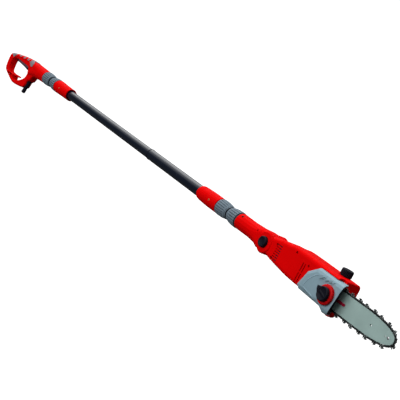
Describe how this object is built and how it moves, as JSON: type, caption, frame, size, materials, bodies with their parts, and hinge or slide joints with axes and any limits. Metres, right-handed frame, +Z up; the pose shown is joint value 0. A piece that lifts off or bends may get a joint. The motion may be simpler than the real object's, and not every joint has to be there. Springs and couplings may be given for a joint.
{
  "type": "telescoping pole saw",
  "caption": "Corded pole saw: D-shaped handle, telescoping pole in two tubes, tilting motor head, and a guide bar with saw chain.",
  "frame": {"origin": "bottom centre of the whole saw, at the level of the cord boot's lowest point", "axes": "+X along the pole from the handle to the guide bar's tip, +Z up, away from the finger loop, and -Y towards the sprocket cover"},
  "size_m": [2.2726, 0.0956, 0.1536],
  "materials": {
    "red_plastic": "satin moulded",
    "collar_plastic": "matte, ribbed along the pole",
    "cover_plastic": "satin moulded, blue-grey",
    "black_plastic": "fine matte grain",
    "grip_rubber": "soft matte",
    "black_rubber": "soft matte",
    "tube_metal": "dark navy, satin anodised",
    "steel": "machined",
    "brass": "plain",
    "copper": "wound wire",
    "bar_steel": "brushed lengthwise",
    "chain_steel": "dark oiled",
    "slider_plastic": "dark red",
    "tank_plastic": "translucent white"
  },
  "bodies": {
    "handle": {"handle_shell_left": "red_plastic", "handle_shell_right": "red_plastic", "grip_pad": "grip_rubber", "trigger_pin": "steel", "trigger_switch": "black_plastic", "cord_boot": "black_rubber", "cord_clamp": "black_plastic", "rear_plug": "black_plastic", "rear_socket": "black_plastic", "rear_collar": "collar_plastic", "rear_sleeve": "red_plastic", "rear_sleeve_screw": "brass", "inner_tube": "tube_metal", "lock_bush": "black_plastic", "spiral_cable": "black_rubber"},
    "trigger_lever": {"trigger": "black_plastic"},
    "lock_off": {"lockoff_button": "black_plastic"},
    "rear_nut": {"rear_union_nut": "collar_plastic"},
    "front_pole": {"outer_tube": "tube_metal", "tube_end_ring": "black_plastic", "front_sleeve": "red_plastic", "front_sleeve_screw": "brass", "front_collar": "collar_plastic", "front_plug": "black_plastic", "front_socket": "black_plastic", "neck_shell_left": "red_plastic", "neck_shell_right": "red_plastic", "neck_screw_1": "steel", "neck_screw_2": "steel", "tilt_pin": "steel"},
    "front_nut": {"front_union_nut": "collar_plastic"},
    "tilt_release": {"tilt_button": "black_plastic"},
    "head": {"motor_housing_left": "red_plastic", "motor_housing_right": "red_plastic", "motor_stator": "steel", "rear_bearing": "steel", "front_bearing": "steel", "spindle_bearing": "steel", "oil_tank": "tank_plastic", "sprocket_cover": "cover_plastic", "cover_strip": "black_plastic", "bar_stud": "steel", "guide_bar": "bar_steel", "saw_chain": "chain_steel", "tension_slider": "slider_plastic", "head_screw_1": "steel", "head_screw_2": "steel", "head_screw_3": "steel", "head_screw_4": "steel"},
    "armature": {"motor_armature": "copper", "cooling_fan": "black_plastic", "bevel_pinion": "steel"},
    "spindle": {"sprocket_spindle": "steel", "bevel_gear": "steel", "drive_sprocket": "steel"},
    "nose_wheel": {"nose_sprocket": "steel"},
    "tension_dial": {"tension_ring": "red_plastic"},
    "knob": {"clamp_knob": "black_plastic"},
    "filler_cap": {"oil_cap": "black_plastic"}
  },
  "joints": [
    {"name": "trigger_squeeze", "type": "hinge", "parent": "handle", "child": "trigger_lever", "pos_m": [-1.06925, 0.0138, 0.10031], "axis": [0, -1, 0], "range_deg": [0, 4], "stiffness_Nm_per_rad": 6, "springref_deg": -2.86},
    {"name": "lock_off_push", "type": "slide", "parent": "handle", "child": "lock_off", "axis": [0, -1, 0], "range_m": [0, 0.003], "stiffness_N_per_m": 600, "springref_m": -0.002},
    {"name": "rear_nut_turn", "type": "hinge", "parent": "handle", "child": "rear_nut", "pos_m": [-0.78125, 0.0138, 0.09931], "axis": [1, 0, 0], "range_deg": [0, 540]},
    {"name": "pole_extension", "type": "slide", "parent": "handle", "child": "front_pole", "axis": [1, 0, 0], "range_m": [-0.25, 0]},
    {"name": "front_nut_turn", "type": "hinge", "parent": "front_pole", "child": "front_nut", "pos_m": [0.47875, 0.0138, 0.09931], "axis": [1, 0, 0], "range_deg": [0, 540]},
    {"name": "tilt_release_push", "type": "slide", "parent": "front_pole", "child": "tilt_release", "axis": [0, 1, 0], "range_m": [0, 0.005], "stiffness_N_per_m": 1200, "springref_m": -0.003},
    {"name": "head_tilt", "type": "hinge", "parent": "front_pole", "child": "head", "pos_m": [0.65075, 0.0138, 0.09831], "axis": [0, 1, 0], "range_deg": [-30, 30]},
    {"name": "motor_spin", "type": "hinge", "parent": "head", "child": "armature", "pos_m": [0.76875, 0.0138, 0.09031], "axis": [1, 0, 0], "continuous": true},
    {"name": "spindle_spin", "type": "hinge", "parent": "head", "child": "spindle", "pos_m": [0.86875, 0.0138, 0.09031], "axis": [0, 1, 0], "continuous": true},
    {"name": "nose_wheel_spin", "type": "hinge", "parent": "head", "child": "nose_wheel", "pos_m": [1.10975, -0.0042, 0.09031], "axis": [0, 1, 0], "continuous": true},
    {"name": "tension_dial_turn", "type": "hinge", "parent": "head", "child": "tension_dial", "pos_m": [0.92675, -0.0312, 0.09031], "axis": [0, 1, 0], "range_deg": [-90, 90]},
    {"name": "knob_turn", "type": "hinge", "parent": "head", "child": "knob", "pos_m": [0.92675, -0.0412, 0.09031], "axis": [0, 1, 0], "range_deg": [0, 720]},
    {"name": "filler_cap_turn", "type": "hinge", "parent": "head", "child": "filler_cap", "pos_m": [0.89375, 0.0278, 0.13931], "axis": [0, 0, 1], "range_deg": [0, 540]}
  ],
  "couplings": [
    {"joint": "spindle_spin", "follows": "motor_spin", "ratio": 0.33333},
    {"joint": "nose_wheel_spin", "follows": "motor_spin", "ratio": 0.25}
  ]
}
